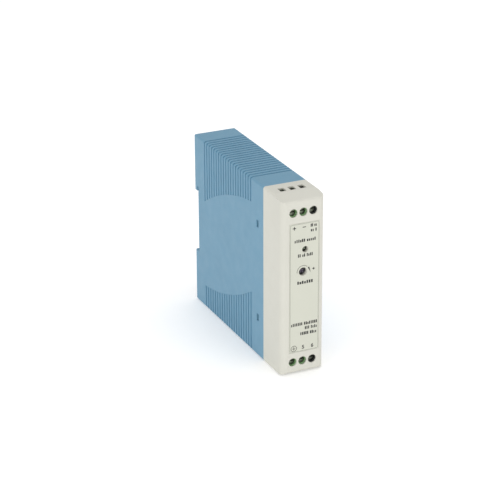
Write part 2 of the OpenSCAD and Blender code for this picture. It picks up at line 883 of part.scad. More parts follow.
lamp_spacer();
fuse();
inrush_thermistor();
surge_varistor();
safety_capacitor();
filter_choke_core();
filter_choke_windings();
bridge_rectifier();
bulk_capacitor();
transformer_core();
transformer_bobbin();
transformer_winding();
switching_transistor();
primary_heatsink();
output_diode();
secondary_heatsink();
heatsink_screws();
output_capacitors();
output_inductor_core();
output_inductor_winding();
optocoupler();
controller_chip();
bridging_capacitor();
snubber_resistors();
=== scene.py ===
# Slim rail-mounted power supply: looks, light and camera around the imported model
import json
import math
import random
import bmesh
import bpy
from mathutils import Matrix, Vector
from mathutils.bvhtree import BVHTree


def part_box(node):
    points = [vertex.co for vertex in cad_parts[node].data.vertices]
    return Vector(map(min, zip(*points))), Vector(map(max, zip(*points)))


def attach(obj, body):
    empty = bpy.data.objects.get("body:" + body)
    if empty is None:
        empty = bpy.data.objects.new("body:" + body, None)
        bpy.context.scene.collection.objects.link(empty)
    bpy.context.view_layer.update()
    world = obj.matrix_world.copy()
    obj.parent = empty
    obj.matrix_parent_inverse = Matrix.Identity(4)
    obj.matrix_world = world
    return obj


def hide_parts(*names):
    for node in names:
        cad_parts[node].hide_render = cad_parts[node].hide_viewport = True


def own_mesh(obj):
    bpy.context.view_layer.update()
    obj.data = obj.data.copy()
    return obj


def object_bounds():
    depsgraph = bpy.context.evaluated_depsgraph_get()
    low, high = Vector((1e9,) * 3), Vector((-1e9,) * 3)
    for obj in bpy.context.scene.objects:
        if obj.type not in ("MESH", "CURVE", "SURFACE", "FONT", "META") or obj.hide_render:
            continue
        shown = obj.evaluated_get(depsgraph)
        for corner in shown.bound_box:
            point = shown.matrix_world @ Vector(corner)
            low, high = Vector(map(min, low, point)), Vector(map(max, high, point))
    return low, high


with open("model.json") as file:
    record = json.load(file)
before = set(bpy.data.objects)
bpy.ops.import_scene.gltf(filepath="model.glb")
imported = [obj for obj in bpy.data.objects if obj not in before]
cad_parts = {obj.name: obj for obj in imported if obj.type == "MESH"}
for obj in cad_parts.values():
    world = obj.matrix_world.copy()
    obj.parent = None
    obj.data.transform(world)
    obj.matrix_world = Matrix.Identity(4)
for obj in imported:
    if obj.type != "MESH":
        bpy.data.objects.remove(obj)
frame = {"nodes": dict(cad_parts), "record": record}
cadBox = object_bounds()
mm = 0.001
baseZ = cadBox[0][2]


def rgb(red, green, blue):
    # 0-255 screen colour to the linear values that the shaders take
    def linear(value):
        value = value / 255
        return value / 12.92 if value <= 0.04045 else ((value + 0.055) / 1.055) ** 2.4
    return (linear(red), linear(green), linear(blue), 1)


viewing = {
    "azimuth": -24.9,      # degrees round from the front, towards the left
    "elevation": 23.1,
    "roll": -0.23,
    "distance": 0.9404,
    "lens": 138.65,
    "aside": 0.0036,       # how far the aim lies left of the middle of the case
    "below": 0.0007,
    "farthest": 20,
}


def addCamera(settings):
    around = math.radians(settings["azimuth"])
    up = math.radians(settings["elevation"])
    back = Vector((math.sin(around) * math.cos(up), -math.cos(around) * math.cos(up), math.sin(up)))
    right = Vector((math.cos(around), math.sin(around), 0))
    upward = back.cross(right)
    aim = (Vector(cadBox[0]) + Vector(cadBox[1])) / 2
    aim = aim - right * settings["aside"] - upward * settings["below"]
    roll = Matrix.Rotation(math.radians(settings["roll"]), 3, "Z")
    turn = Matrix((right, upward, back)).transposed() @ roll
    data = bpy.data.cameras.new("camera")
    data.lens = settings["lens"]
    data.clip_end = settings["farthest"]
    camera = bpy.data.objects.new("camera", data)
    camera.matrix_world = Matrix.Translation(aim + back * settings["distance"]) @ turn.to_4x4()
    bpy.context.scene.collection.objects.link(camera)
    bpy.context.scene.camera = camera


addCamera(viewing)
print("camera placed")


def startMaterial(name):
    material = bpy.data.materials.new(name)
    material.use_nodes = True
    nodes = material.node_tree.nodes
    return material, nodes, material.node_tree.links, nodes["Principled BSDF"]


def addNoise(nodes, links, scale, detail=3, stretch=(1, 1, 1)):
    place = nodes.new("ShaderNodeTexCoord")
    mapping = nodes.new("ShaderNodeMapping")
    mapping.inputs["Scale"].default_value = stretch
    noise = nodes.new("ShaderNodeTexNoise")
    noise.inputs["Scale"].default_value = scale
    noise.inputs["Detail"].default_value = detail
    links.new(place.outputs["Object"], mapping.inputs["Vector"])
    links.new(mapping.outputs["Vector"], noise.inputs["Vector"])
    return noise.outputs["Fac"]


def addSpread(nodes, links, source, low, high, start=0.3, end=0.7):
    spread = nodes.new("ShaderNodeMapRange")
    spread.inputs["From Min"].default_value = start
    spread.inputs["From Max"].default_value = end
    spread.inputs["To Min"].default_value = low
    spread.inputs["To Max"].default_value = high
    links.new(source, spread.inputs["Value"])
    return spread.outputs["Result"]


def addColourMix(nodes, links, amount, first, second):
    mix = nodes.new("ShaderNodeMix")
    mix.data_type = "RGBA"
    links.new(amount, mix.inputs["Factor"])
    for socket, colour in (("A", first), ("B", second)):
        wanted = [i for i in mix.inputs if i.name == socket and i.type == "RGBA"][0]
        if isinstance(colour, tuple):
            wanted.default_value = colour
        else:
            links.new(colour, wanted)
    return [o for o in mix.outputs if o.type == "RGBA"][0]


def addBump(nodes, links, heights, shader):
    # heights is a list of (source, strength, distance in metres), the coarsest first
    normal = None
    for source, strength, distance in heights:
        bump = nodes.new("ShaderNodeBump")
        bump.inputs["Strength"].default_value = strength
        bump.inputs["Distance"].default_value = distance
        links.new(source, bump.inputs["Height"])
        if normal:
            links.new(normal, bump.inputs["Normal"])
        normal = bump.outputs["Normal"]
    links.new(normal, shader.inputs["Normal"])


def tinted(colour, factor):
    return tuple(min(1, c * factor) for c in colour[:3]) + (1,)


moulding = {
    "speckleScale": 0.6,       # of the grain's
    "speckleShade": 0.7,
    # patches of painted highlight and rubbing wear on the rounded edges: their size, and how much paler they
    # are
    "highlightAndWearScale": 260,
    "highlightAndWearTone": 1.35,
    "glossLow": 0.05,          # how far the roughness falls below the look's own, and rises above it
    "glossHigh": 0.07,
    "waveStrength": 0.25,
    "waveDepth": 0.2 * mm,
    "grainDepth": 0.05 * mm,
}


def mouldedPlastic(name, look):
    material, nodes, links, shader = startMaterial(name)
    colour = look["colour"]
    mottle = addSpread(nodes, links, addNoise(nodes, links, look["mottleScale"], 4), 0, 1)
    darker = tinted(colour, 1 - look["mottle"])
    paler = tinted(colour, 1 + look["mottle"])
    body = addColourMix(nodes, links, mottle, darker, paler)
    specks = addNoise(nodes, links, look["grainScale"] * moulding["speckleScale"], 2)
    speckle = addSpread(nodes, links, specks, 0, look["speckle"], 0.55, 0.8)
    body = addColourMix(nodes, links, speckle, body, tinted(colour, moulding["speckleShade"]))
    if look["highlightAndWear"] > 0:
        # painted highlight together with rubbing wear: the rounded edges are paler in patches
        edge = nodes.new("ShaderNodeAttribute")
        edge.attribute_name = "highlitAndRubbed"
        patches = addNoise(nodes, links, moulding["highlightAndWearScale"], 3)
        patches = addSpread(nodes, links, patches, 0, look["highlightAndWear"], 0.4, 0.65)
        highlitAndRubbed = nodes.new("ShaderNodeMath")
        highlitAndRubbed.operation = "MULTIPLY"
        links.new(edge.outputs["Fac"], highlitAndRubbed.inputs[0])
        links.new(patches, highlitAndRubbed.inputs[1])
        pale = tinted(colour, moulding["highlightAndWearTone"])
        body = addColourMix(nodes, links, highlitAndRubbed.outputs["Value"], body, pale)
    links.new(body, shader.inputs["Base Color"])
    gloss = addSpread(nodes, links, addNoise(nodes, links, look["mottleScale"] * 3, 3),
                      look["roughness"] - moulding["glossLow"], look["roughness"] + moulding["glossHigh"])
    links.new(gloss, shader.inputs["Roughness"])
    shader.inputs["Specular IOR Level"].default_value = look["specular"]
    grain = addNoise(nodes, links, look["grainScale"], 2)
    wave = addNoise(nodes, links, look["mottleScale"] * 0.7, 1)
    addBump(nodes, links, [(wave, moulding["waveStrength"], moulding["waveDepth"]),
                           (grain, look["grain"], moulding["grainDepth"])], shader)
    return material


plating = {
    "cloudScale": 500,
    "cloudDark": 0.86,
    "cloudPale": 1.08,
    "brushScale": 900,
    "glossLow": 0.08,
    "glossHigh": 0.12,
    "brushStrength": 0.15,
    "brushDepth": 0.02 * mm,
}


def platedMetal(name, look):
    material, nodes, links, shader = startMaterial(name)
    colour = look["colour"]
    shader.inputs["Metallic"].default_value = look["metallic"]
    cloud = addSpread(nodes, links, addNoise(nodes, links, plating["cloudScale"], 4), 0, 1)
    darker = tinted(colour, plating["cloudDark"])
    paler = tinted(colour, plating["cloudPale"])
    links.new(addColourMix(nodes, links, cloud, darker, paler), shader.inputs["Base Color"])
    brushed = addNoise(nodes, links, plating["brushScale"], 2, look["stretch"])
    gloss = addSpread(nodes, links, brushed, look["roughness"] - plating["glossLow"],
                      look["roughness"] + plating["glossHigh"])
    links.new(gloss, shader.inputs["Roughness"])
    addBump(nodes, links, [(brushed, plating["brushStrength"], plating["brushDepth"])], shader)
    return material


def plasticLook(colour, roughness=0.45, grain=0.3, mottle=0.03, highlightAndWear=0.0, specular=0.45, grainScale=4200,
                mottleScale=60, speckle=0.05):
    return {"colour": colour, "roughness": roughness, "grain": grain, "mottle": mottle, "highlightAndWear": highlightAndWear,
            "specular": specular, "grainScale": grainScale, "mottleScale": mottleScale, "speckle": speckle}


plasticLooks = {
    # the fifth value is how far the rounded edges are paled, by painted highlight together with rubbing wear
    "case_blue": plasticLook(rgb(103, 147, 172), 0.5, 0.35, 0.02, 0.25),
    "cover_white": plasticLook(rgb(204, 203, 193), 0.5, 0.3, 0.015, 0.15),
    "label_film": plasticLook(rgb(200, 201, 188), 0.42, 0.15, 0.01, specular=0.4),
    "latch_black": plasticLook(rgb(44, 46, 50), 0.42, 0.4, 0.08, 0.3),
    "board_green": plasticLook(rgb(28, 82, 52), 0.3, 0.2, 0.1, grainScale=900),
    "insulation_film": plasticLook(rgb(216, 208, 188), 0.35, 0.1, 0.03),
    "terminal_green": plasticLook(rgb(120, 157, 108), 0.35, 0.2, 0.05, 0.2),
    "terminal_dark": plasticLook(rgb(38, 40, 40), 0.4, 0.2, 0.06, 0.2),
    "trimmer_blue": plasticLook(rgb(40, 84, 160), 0.35, 0.15, 0.03),
    "rotor_grey": plasticLook(rgb(112, 104, 122), 0.4, 0.2, 0.05, 0.2),
    "spacer_white": plasticLook(rgb(225, 225, 220), 0.45, 0.15, 0.02),
    "header_black": plasticLook(rgb(32, 32, 34), 0.45, 0.2, 0.05),
    "fuse_brown": plasticLook(rgb(122, 84, 44), 0.3, 0.1, 0.05),
    "thermistor_green": plasticLook(rgb(52, 74, 60), 0.35, 0.2, 0.08),
    "varistor_blue": plasticLook(rgb(36, 82, 168), 0.3, 0.15, 0.06),
    "film_yellow": plasticLook(rgb(214, 178, 48), 0.35, 0.15, 0.03),
    "ferrite_dark": plasticLook(rgb(62, 62, 64), 0.55, 0.6, 0.12),
    "package_black": plasticLook(rgb(34, 34, 36), 0.5, 0.3, 0.05),
    "sleeve_blue": plasticLook(rgb(34, 42, 84), 0.25, 0.05, 0.04),
    "sleeve_green": plasticLook(rgb(24, 84, 84), 0.25, 0.05, 0.04),
    "tape_yellow": plasticLook(rgb(220, 184, 56), 0.3, 0.1, 0.05),
    "resistor_tan": plasticLook(rgb(196, 170, 124), 0.45, 0.2, 0.06),
}


def metalLook(colour, roughness=0.32, stretch=(1, 1, 0.2), metallic=1.0):
    return {"colour": colour, "roughness": roughness, "stretch": stretch, "metallic": metallic}


metalLooks = {
    "spring_steel": metalLook(rgb(196, 196, 194), 0.3),
    "screw_zinc": metalLook(rgb(132, 138, 124), 0.4, (1, 0.2, 1), 0.85),
    "clamp_nickel": metalLook(rgb(212, 204, 184), 0.38, (1, 1, 0.3), 0.85),
    "contact_tin": metalLook(rgb(206, 198, 170), 0.3, (1, 0.3, 1)),
    "winding_copper": metalLook(rgb(206, 128, 72), 0.35),
    "heatsink_plain": metalLook(rgb(208, 208, 210), 0.38, (0.1, 1, 1)),
}


rimShadeFade = (0.8, 1.1)       # where the painted shade starts and ends, of its radius


def paintRimShade(material, middle, radius, rim):
    # painted shade: outside a radius from an axis that runs front to back, the colour falls off to the rim's
    # dark colour, which stands in for the shade round the part's edge
    nodes, links = material.node_tree.nodes, material.node_tree.links
    shader = nodes["Principled BSDF"]
    place = nodes.new("ShaderNodeTexCoord")
    centred = nodes.new("ShaderNodeMapping")
    centred.inputs["Location"].default_value = (-middle.x, 0, -middle.z)
    centred.inputs["Scale"].default_value = (1, 0, 1)
    away = nodes.new("ShaderNodeVectorMath")
    away.operation = "LENGTH"
    links.new(place.outputs["Object"], centred.inputs["Vector"])
    links.new(centred.outputs["Vector"], away.inputs[0])
    amount = addSpread(nodes, links, away.outputs["Value"], 0, 1, radius * rimShadeFade[0], radius * rimShadeFade[1])
    body = shader.inputs["Base Color"].links[0].from_socket
    links.new(addColourMix(nodes, links, amount, body, rim), shader.inputs["Base Color"])


def middleOf(nodeName):
    low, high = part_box(nodeName)
    return (low + high) / 2


lamp = {
    "colour": rgb(112, 122, 104),
    # the rim colour is painted shade round the lamp's edge
    "rim": rgb(40, 48, 38),
    "clearRadius": 0.55 * mm,
    "hazeScale": 700,
    "hazeDark": 0.85,
    "hazePale": 1.1,
    "roughness": 0.22,
    "seeThrough": 0.2,
    "bending": 1.5,
}


def lampPlastic(name, look):
    material, nodes, links, shader = startMaterial(name)
    haze = addSpread(nodes, links, addNoise(nodes, links, look["hazeScale"], 3), 0, 1)
    darker = tinted(look["colour"], look["hazeDark"])
    paler = tinted(look["colour"], look["hazePale"])
    links.new(addColourMix(nodes, links, haze, darker, paler), shader.inputs["Base Color"])
    shader.inputs["Roughness"].default_value = look["roughness"]
    shader.inputs["Transmission Weight"].default_value = look["seeThrough"]
    shader.inputs["IOR"].default_value = look["bending"]
    return material


# painted shade round the rotor, standing in for the shadow of the hole it sits in
rotorRimShade = {"colour": rgb(36, 34, 40), "clearRadius": 0.85 * mm}
materials = {slot: mouldedPlastic(slot, look) for slot, look in plasticLooks.items()}
materials.update({slot: platedMetal(slot, look) for slot, look in metalLooks.items()})
materials["lamp_green"] = lampPlastic("lamp_green", lamp)
paintRimShade(materials["lamp_green"], middleOf("status_lamp"), lamp["clearRadius"], lamp["rim"])
paintRimShade(materials["rotor_grey"], middleOf("trimmer_rotor"), rotorRimShade["clearRadius"], rotorRimShade["colour"])
inkDark = mouldedPlastic("printing_ink", plasticLook(rgb(30, 30, 29), 0.5, 0.1, 0.08))
inkLine = mouldedPlastic("printing_line", plasticLook(rgb(128, 130, 120), 0.5, 0.1, 0.05))

slotOf = {part["node"]: part["material_slot"] for part in frame["record"]["subparts"]}
bodyOf = {}
for bodyName, names in frame["record"]["behaviour"]["bodies"].items():
    for nodeName in names:
        bodyOf[nodeName] = bodyName

for nodeName, node in frame["nodes"].items():
    node.data.materials.clear()
    node.data.materials.append(materials[slotOf[nodeName]])
print("materials assigned to", len(frame["nodes"]), "nodes")


def addPiece(name, mesh, material, body):
    data = bpy.data.meshes.new(name)
    mesh.to_mesh(data)
    mesh.free()
    data.materials.append(material)
    piece = bpy.data.objects.new(name, data)
    bpy.context.scene.collection.objects.link(piece)
    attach(piece, body)
    return piece


def markSharp(mesh, angle):
    for face in mesh.faces:
        face.smooth = True
    for edge in mesh.edges:
        edge.smooth = not (len(edge.link_faces) == 2 and edge.calc_face_angle(0) > math.radians(angle))


def vertsIn(geometry):
    return [item for item in geometry if isinstance(item, bmesh.types.BMVert)]


def keepFlatsFlat(piece):
    weighted = piece.modifiers.new("flats", "WEIGHTED_NORMAL")
    weighted.keep_sharp = True
    weighted.weight = rounding["flatWeight"]


rounding = {
    "segments": 2,
    "fromAngle": 35,           # edges that turn more than this are rounded
    "smoothTo": 50,            # edges that still turn more than this stay crisp
    "flatFrom": 60 * mm * mm,  # a face larger than this keeps its own shading
    "flatWeight": 80,
    "weld": 0.002 * mm,
    "weldAfter": 0.0005 * mm,
    "flatWithin": 1,           # neighbouring faces that differ by less become one
    "reachFrom": 0.05 * mm,
    "keepTriangles": ("front_cover",),
}
poles = [(side, pole) for side in ("output", "input") for pole in ("1", "2", "3")]


def isReached(tree, edge):
    # True for an edge that opens to the air, not one inside a hollow
    outward = (edge.link_faces[0].normal + edge.link_faces[1].normal).normalized()
    middle = (edge.verts[0].co + edge.verts[1].co) / 2
    return tree.ray_cast(middle + outward * rounding["reachFrom"], outward)[0] is None


def roundedMesh(nodeName, radius):
    # copies a CAD node, merges it and rounds its crisp edges the way a moulding tool leaves them
    mesh = bmesh.new()
    mesh.from_mesh(frame["nodes"][nodeName].data)
    bmesh.ops.remove_doubles(mesh, verts=mesh.verts, dist=rounding["weld"])
    if nodeName not in rounding["keepTriangles"]:
        bmesh.ops.dissolve_limit(mesh, angle_limit=math.radians(rounding["flatWithin"]), verts=mesh.verts,
                                 edges=mesh.edges)
    bmesh.ops.recalc_face_normals(mesh, faces=mesh.faces)
    tree = BVHTree.FromBMesh(mesh)
    crisp = [e for e in mesh.edges if len(e.link_faces) == 2
             and e.calc_face_angle(0) > math.radians(rounding["fromAngle"]) and isReached(tree, e)]
    # the faces that the rounding makes are marked, so that painted highlight and rubbing wear make them paler
    # in patches
    highlitAndRubbed = mesh.faces.layers.float.new("highlitAndRubbed")
    made = bmesh.ops.bevel(mesh, geom=crisp, offset=radius, offset_type="OFFSET", affect="EDGES",
                           segments=rounding["segments"], profile=0.5, material=-1, clamp_overlap=False)
    for face in made["faces"]:
        face[highlitAndRubbed] = 1
    bmesh.ops.remove_doubles(mesh, verts=mesh.verts, dist=rounding["weldAfter"])
    low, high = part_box(nodeName)
    for corner in mesh.verts:
        corner.co = [min(max(value, start), end) for value, start, end in zip(corner.co, low, high)]
    return mesh


def softened(nodeName, radius):
    mesh = roundedMesh(nodeName, radius)
    markSharp(mesh, rounding["smoothTo"])
    for face in mesh.faces:
        if face.calc_area() > rounding["flatFrom"]:
            for edge in face.edges:
                edge.smooth = False
    slot = slotOf[nodeName]
    piece = addPiece(nodeName + ".moulded", mesh, materials[slot], bodyOf[nodeName])
    keepFlatsFlat(piece)
    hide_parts(nodeName)
    return piece


edges = {
    "case_body": 0.14 * mm,
    "front_cover": 0.1 * mm,
    "front_label": 0.04 * mm,
    "rail_latch": 0.2 * mm,
    "output_terminal_block": 0.12 * mm,
    "output_terminal_end_pole": 0.12 * mm,
    "input_terminal_block": 0.12 * mm,
    "input_terminal_end_pole": 0.12 * mm,
    "trimmer_rotor": 0.08 * mm,
    "trimmer_body": 0.2 * mm,
}
# the parts on the boards, inside the case
edges.update({
    "main_board": 0.12 * mm,
    "insulation_sheet": 0.08 * mm,
    "board_header": 0.12 * mm,
    "lamp_spacer": 0.15 * mm,
    "fuse": 0.15 * mm,
    "safety_capacitor": 0.7 * mm,
    "bridge_rectifier": 0.4 * mm,
    "transformer_core": 0.3 * mm,
    "transformer_bobbin": 0.2 * mm,
    "switching_transistor": 0.2 * mm,
    "output_diode": 0.2 * mm,
    "primary_heatsink": 0.25 * mm,
    "secondary_heatsink": 0.25 * mm,
    "output_inductor_core": 0.3 * mm,
    "optocoupler": 0.25 * mm,
    "controller_chip": 0.2 * mm,
    "snubber_resistors": 0.2 * mm,
})
for side, pole in poles:
    edges[side + "_clamp_" + pole] = 0.08 * mm
for nodeName, radius in edges.items():
    piece = softened(nodeName, radius)
    print(nodeName, "rounded,", len(piece.data.polygons), "faces")


screw = {
    "round": 0.1 * mm,
    "head": 2.0 * mm,
    "neck": 0.5 * mm,       # plain shank between head and thread
    "pitch": 0.45 * mm,
    "crest": 1.25 * mm,
    "root": 1.02 * mm,
    "steps": 20,            # faces along one turn
    "overlap": 0.05 * mm,   # how far the thread reaches into the neck
    "weld": 0.001 * mm,
    "cutWithin": 0.0001 * mm,
}


def addThread(mesh, x, z, start, end):
    # a zigzag swept once round the axis while it climbs by one pitch, then cut square at both ends
    turns = int((end - start) / screw["pitch"]) + 3
    first = start - 1.5 * screw["pitch"]
    radii = (screw["root"], screw["crest"])
    corners = []
    for half in range(2 * turns + 1):
        corners.append(mesh.verts.new((x + radii[half % 2], first + half * screw["pitch"] / 2, z)))
    flanks = [mesh.edges.new(pair) for pair in zip(corners, corners[1:])]
    bmesh.ops.spin(mesh, geom=corners + flanks, cent=(x, 0, z), axis=(0, 1, 0), angle=2 * math.pi,
                   steps=screw["steps"], dvec=(0, screw["pitch"] / screw["steps"], 0))
    bmesh.ops.remove_doubles(mesh, verts=mesh.verts, dist=screw["weld"])
    for at, way in ((start, -1), (end, 1)):
        cutSquare(mesh, at, way)


def cutSquare(mesh, at, way):
    # removes what lies beyond a plane across the depth, and closes the cut
    whole = list(mesh.verts) + list(mesh.edges) + list(mesh.faces)
    bmesh.ops.bisect_plane(mesh, geom=whole, dist=screw["cutWithin"], plane_co=(0, at, 0),
                           plane_no=(0, way, 0), clear_outer=True)
    rim = [edge for edge in mesh.edges if edge.is_boundary
           and all(abs(corner.co.y - at) < screw["weld"] for corner in edge.verts)]
    bmesh.ops.holes_fill(mesh, edges=rim, sides=0)


def addScrew(nodeName):
    low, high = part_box(nodeName)
    middle = (low + high) / 2
    mesh = roundedMesh(nodeName, screw["round"])
    shoulder = low.y + screw["head"] + screw["neck"]
    cutSquare(mesh, shoulder, 1)
    rod = bmesh.new()
    addThread(rod, middle.x, middle.z, shoulder - screw["overlap"], high.y)
    threaded = bpy.data.meshes.new("thread")
    rod.to_mesh(threaded)
    rod.free()
    mesh.from_mesh(threaded)
    bpy.data.meshes.remove(threaded)
    bmesh.ops.recalc_face_normals(mesh, faces=mesh.faces)
    markSharp(mesh, rounding["smoothTo"])
    piece = addPiece(nodeName + ".threaded", mesh, materials["screw_zinc"], bodyOf[nodeName])
    keepFlatsFlat(piece)
    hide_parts(nodeName)


for side, pole in poles:
    addScrew(side + "_screw_" + pole)
print("screws threaded")


# legs of the packages on the main board; pitch is the distance between neighbours
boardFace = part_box("main_board")[1].x
legSmoothTo = 30


def legLook(perSide, pitch, width, reach, thick):
    return {"perSide": perSide, "pitch": pitch, "width": width, "reach": reach, "thick": thick}


packages = {
    "controller_chip": legLook(4, 1.27 * mm, 0.42 * mm, 1 * mm, 0.22 * mm),
    "optocoupler": legLook(2, 2.54 * mm, 0.6 * mm, 0.9 * mm, 0.26 * mm),
    "bridge_rectifier": legLook(2, 5.08 * mm, 0.9 * mm, 0.9 * mm, 0.3 * mm),
}


def addLegs(nodeName, leg):
    # each leg leaves the side of the package, drops to the board and ends in a foot that lies on it
    low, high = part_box(nodeName)
    middle = (low + high) / 2
    mesh = bmesh.new()
    thick = leg["thick"]
    foot = boardFace + thick / 2
    for way in (-1, 1):
        side = high.z if way > 0 else low.z
        for number in range(leg["perSide"]):
            y = middle.y + (number - (leg["perSide"] - 1) / 2) * leg["pitch"] - leg["width"] / 2
            bend = side + way * (leg["reach"] / 2 - thick / 2)
            end = side + way * leg["reach"]
            path = [mesh.verts.new((x, y, z)) for x, z in
                    ((middle.x, side), (middle.x, bend), (foot, bend), (foot, end))]
            line = [mesh.edges.new(pair) for pair in zip(path, path[1:])]
            made = bmesh.ops.extrude_edge_only(mesh, edges=line)["geom"]
            bmesh.ops.translate(mesh, verts=vertsIn(made), vec=(0, leg["width"], 0))
    bmesh.ops.recalc_face_normals(mesh, faces=mesh.faces)
    bmesh.ops.solidify(mesh, geom=list(mesh.faces), thickness=thick)
    bmesh.ops.recalc_face_normals(mesh, faces=mesh.faces)
    markSharp(mesh, legSmoothTo)
    addPiece(nodeName + ".legs", mesh, materials["contact_tin"], "housing")


for nodeName, leg in packages.items():
    addLegs(nodeName, leg)
print("packages given legs")


spring = {
    "wire": 0.45 * mm,
    "turns": 7,
    "closedTurns": 1,      # flat turns at each end
    "closedPitch": 1.05,   # of the wire's thickness
    "steps": 20,           # faces along one turn
    "sides": 8,            # faces round the wire
    "travel": 4.5 * mm,
    "smoothTo": 60,
}


def addSpring(settings):
    low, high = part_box("latch_spring")
    middle = (low + high) / 2
    radius = (high.x - low.x - settings["wire"]) / 2
    bottom = low.z + settings["wire"] / 2
    closedTurns = settings["closedTurns"]
    closedRise = settings["wire"] * settings["closedPitch"] * closedTurns
    openTurns = settings["turns"] - 2 * closedTurns
    openRise = high.z - settings["wire"] / 2 - bottom - 2 * closedRise
    mesh = bmesh.new()
    place = Matrix.Translation((radius, middle.y, bottom)) @ Matrix.Rotation(math.pi / 2, 4, "X")
    bmesh.ops.create_circle(mesh, cap_ends=True, segments=settings["sides"], radius=settings["wire"] / 2,
                            matrix=place)
    ends = list(mesh.faces)
    for turns, rise in ((closedTurns, closedRise), (openTurns, openRise), (closedTurns, closedRise)):
        steps = turns * settings["steps"]
        made = bmesh.ops.spin(mesh, geom=ends, cent=(0, middle.y, 0), axis=(0, 0, 1),
                              angle=2 * math.pi * turns, dvec=(0, 0, rise / steps), steps=steps)
        ends = [item for item in made["geom_last"] if isinstance(item, bmesh.types.BMFace)]
    joins = [face for face in mesh.faces if all(len(edge.link_faces) > 2 for edge in face.edges)]
    bmesh.ops.delete(mesh, geom=joins, context="FACES_ONLY")
    bmesh.ops.recalc_face_normals(mesh, faces=mesh.faces)
    markSharp(mesh, settings["smoothTo"])
    piece = addPiece("latch_spring.coil", mesh, materials["spring_steel"], "housing")
    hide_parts("latch_spring")
    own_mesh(piece)


addSpring(spring)
print("spring wound")


# printing on the label: thin ink a little proud of the film
ink = {
    "thickness": 0.02 * mm,
    "letterHeight": 1.55 * mm,
    "signSize": 1.7 * mm,
    "signWidth": 0.4 * mm,
    "digitSize": 2.7 * mm,
    "digitBold": 0.06 * mm,
    "border": 0.14 * mm,
    "borderInset": 0.3 * mm,
    "borderCorner": 0.8 * mm,
    "borderSteps": 5,
    "ringSteps": 40,
    "weld": 0.0001 * mm,
}
labelLow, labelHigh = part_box("front_label")
labelMiddle = (labelLow + labelHigh) / 2
filmY = labelLow.y
lampAt = middleOf("status_lamp")
trimmerAt = middleOf("trimmer_rotor")
poleX = [middleOf("output_screw_" + pole).x for pole in ("1", "2", "3")]


def addBar(mesh, x, z, width, height):
    # flat bar of ink, centred on x and z
    place = Matrix.Translation((x, filmY - ink["thickness"] / 2, z))
    size = Matrix.Diagonal((width, ink["thickness"], height, 1))
    bmesh.ops.create_cube(mesh, size=1, matrix=place @ size)


def addPlus(mesh, x, z, size, width):
    # a bar across, and a short one above and below it
    arm = (size - width) / 2
    addBar(mesh, x, z, size, width)
    for way in (1, -1):
        addBar(mesh, x, z + way * (width + arm) / 2, width, arm)


def addRing(mesh, x, z, radius, width, start, sweep):
    # a ring or a part of one, over sweep degrees from start, counted from +X towards +Z
    outline = [(-width / 2, 0), (width / 2, 0), (width / 2, ink["thickness"]), (-width / 2, ink["thickness"])]
    corners = [mesh.verts.new((x + radius + out, filmY - deep, z)) for out, deep in outline]
    sides = [mesh.edges.new((corners[i - 1], corners[i])) for i in range(4)]
    whole = abs(sweep) >= 360
    section = sides if whole else [mesh.faces.new(corners)]
    middle = (x, filmY, z)
    bmesh.ops.rotate(mesh, verts=corners, cent=middle, matrix=Matrix.Rotation(math.radians(-start), 3, "Y"))
    bmesh.ops.spin(mesh, geom=section, cent=middle, axis=(0, -1, 0), angle=math.radians(sweep),
                   steps=ink["ringSteps"], use_merge=whole)


def addArrowhead(mesh, x, z, width, length, turn):
    # solid triangle, its point at x and z, turned from pointing down
    place = Matrix.Translation((x, filmY, z)) @ Matrix.Rotation(math.radians(turn), 4, "Y")
    outline = ((0, 0, 0), (width / 2, 0, length), (-width / 2, 0, length))
    face = mesh.faces.new([mesh.verts.new(place @ Vector(at)) for at in outline])
    raised = bmesh.ops.extrude_face_region(mesh, geom=[face])["geom"]
    bmesh.ops.translate(mesh, verts=vertsIn(raised), vec=(0, -ink["thickness"], 0))


def addDigit(mesh, x, z, digit):
    text = bpy.data.curves.new("digit", "FONT")
    text.body = digit
    text.size = ink["digitSize"]
    text.align_x = "CENTER"
    text.align_y = "CENTER"
    text.extrude = ink["thickness"] / 2
    text.offset = ink["digitBold"]
    holder = bpy.data.objects.new("digit", text)
    bpy.context.scene.collection.objects.link(holder)
    flat = bpy.data.meshes.new_from_object(holder.evaluated_get(bpy.context.evaluated_depsgraph_get()))
    place = Matrix.Translation((x, filmY - ink["thickness"] / 2, z))
    flat.transform(place @ Matrix.Rotation(math.pi / 2, 4, "X"))
    mesh.from_mesh(flat)
    bmesh.ops.remove_doubles(mesh, verts=mesh.verts, dist=ink["weld"])
    bpy.data.objects.remove(holder)


def addWriting(mesh, right, z, width, words, dice):
    # stands for a line of small print that ends at right: blocks of ink, one for each letter
    unit = width / (sum(words) + writing["wordGap"] * (len(words) - 1))
    left = right - width
    for count in words:
        for letter in range(count):
            high = ink["letterHeight"] * dice.choice(writing["heights"])
            wide = unit * dice.uniform(*writing["widths"])
            addBar(mesh, left + unit / 2, z - (ink["letterHeight"] - high) / 2, wide, high)
            left += unit
        left += writing["wordGap"] * unit


def addPrinting(name, mesh, material):
    bmesh.ops.recalc_face_normals(mesh, faces=mesh.faces)
    return addPiece(name, mesh, material, "housing")


# the marks of the terminals, counted from the ends of the label and from the middles of the poles
signs = {
    "fromEnd": 2.1 * mm,
    "aside": 0.5 * mm,
    "digitAside": 0.3 * mm,
    "earthRadius": 1.45 * mm,
    "earthLine": 0.22 * mm,
    "stemHeight": 0.9 * mm,
    "stemUp": 0.6 * mm,
    "barWidths": (1.7 * mm, 1.1 * mm, 0.5 * mm),
    "barHeight": 0.2 * mm,
    "barUp": 0.1 * mm,
    "barStep": 0.4 * mm,
}


